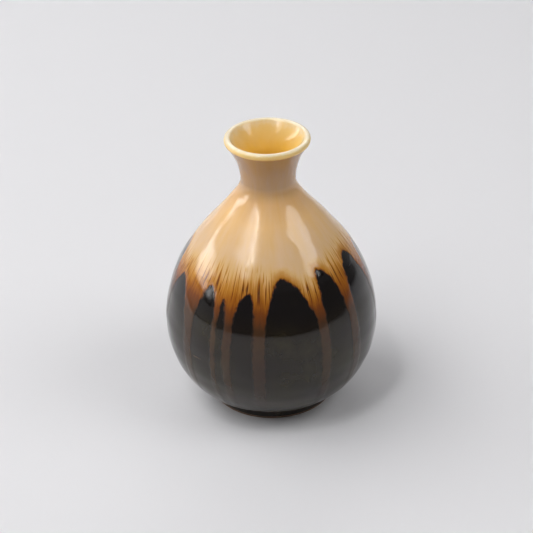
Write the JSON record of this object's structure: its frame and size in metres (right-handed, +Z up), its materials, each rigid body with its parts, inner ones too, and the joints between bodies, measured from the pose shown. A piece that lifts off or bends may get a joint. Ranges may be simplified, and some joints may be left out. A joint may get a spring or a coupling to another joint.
{
  "type": "sake bottle",
  "caption": "Round-bellied stoneware sake bottle with a short waisted neck, a flared rolled lip, a turned foot ring and coats of running glaze.",
  "frame": {"origin": "centre of the ring that the foot stands on, on the table", "axes": "+Z up through the middle of the mouth; the bottle is round, and -Y is the side with the broad black tongue between two runs of glaze"},
  "size_m": [0.0966, 0.0962, 0.13],
  "materials": {
    "stoneware": "fired unglazed stoneware, rough",
    "dark_glaze": "glossy black-brown glaze",
    "cream_glaze": "glossy cream to tan glaze with fine brown streaks",
    "rust_glaze": "glossy rust-brown runs of glaze",
    "honey_glaze": "glossy honey glaze",
    "liner_glaze": "glossy amber glaze"
  },
  "bodies": {
    "root": {"belly": "stoneware", "neck": "stoneware", "foot_ring": "stoneware", "dark_glaze": "dark_glaze", "cream_glaze": "cream_glaze", "glaze_runs": "rust_glaze", "lip_glaze": "honey_glaze", "liner_glaze": "liner_glaze"}
  },
  "joints": []
}
